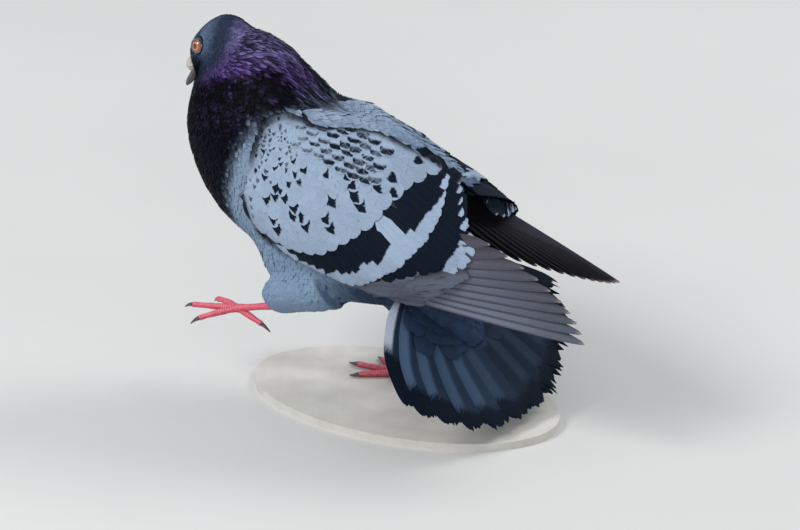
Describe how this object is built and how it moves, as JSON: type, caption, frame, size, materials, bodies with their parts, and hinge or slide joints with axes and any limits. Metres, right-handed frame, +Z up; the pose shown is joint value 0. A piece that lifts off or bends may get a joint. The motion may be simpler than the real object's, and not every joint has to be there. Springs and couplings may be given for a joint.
{
  "type": "pigeon",
  "caption": "Life-size still model of a male feral pigeon in display strut: puffed glossy neck, bowed head, drooped wings, fanned tail on the ground, one foot raised, on a thin oval base",
  "frame": {"origin": "middle of the underside of the whole model's bounding box, on the underside of the base", "axes": "+Z up; the bird faces -Y, so the longest extent, bill to wing tips, runs along Y; its left side is +X; the shortest extent is across the tail along X"},
  "size_m": [0.176, 0.3008, 0.2345],
  "materials": {
    "plumage_grey": "soft blue-grey body feathers",
    "plumage_neck": "near-black neck feathers with a purple gloss",
    "plumage_head": "dark slate-blue head feathers",
    "wing": "pale blue-grey coverts with dark chequers and two dark bars",
    "flight_feather": "brown-grey flight feathers",
    "tail_feather": "slate-blue tail feathers with a black band",
    "bill": "dark grey horn",
    "cere": "chalky off-white swollen skin",
    "eye": "orange iris with a dark pupil under a clear cornea",
    "leg": "pink-red scaly skin",
    "claw": "dark grey horn",
    "base": "pale matt paint"
  },
  "bodies": {
    "root": {"bill_lower": "bill", "bill_upper": "bill", "cere": "cere", "claw_left_hallux": "claw", "claw_left_inner": "claw", "claw_left_middle": "claw", "claw_left_outer": "claw", "claw_right_hallux": "claw", "claw_right_inner": "claw", "claw_right_middle": "claw", "claw_right_outer": "claw", "eye_left": "eye", "eye_right": "eye", "foot_left": "leg", "foot_right": "leg", "head": "plumage_head", "neck": "plumage_neck", "primaries_left": "flight_feather", "primaries_right": "flight_feather", "stand_base": "base", "tail": "tail_feather", "tarsus_left": "leg", "tarsus_right": "leg", "thigh_left": "plumage_grey", "thigh_right": "plumage_grey", "trunk": "plumage_grey", "wing_left": "wing", "wing_right": "wing"}
  },
  "joints": []
}
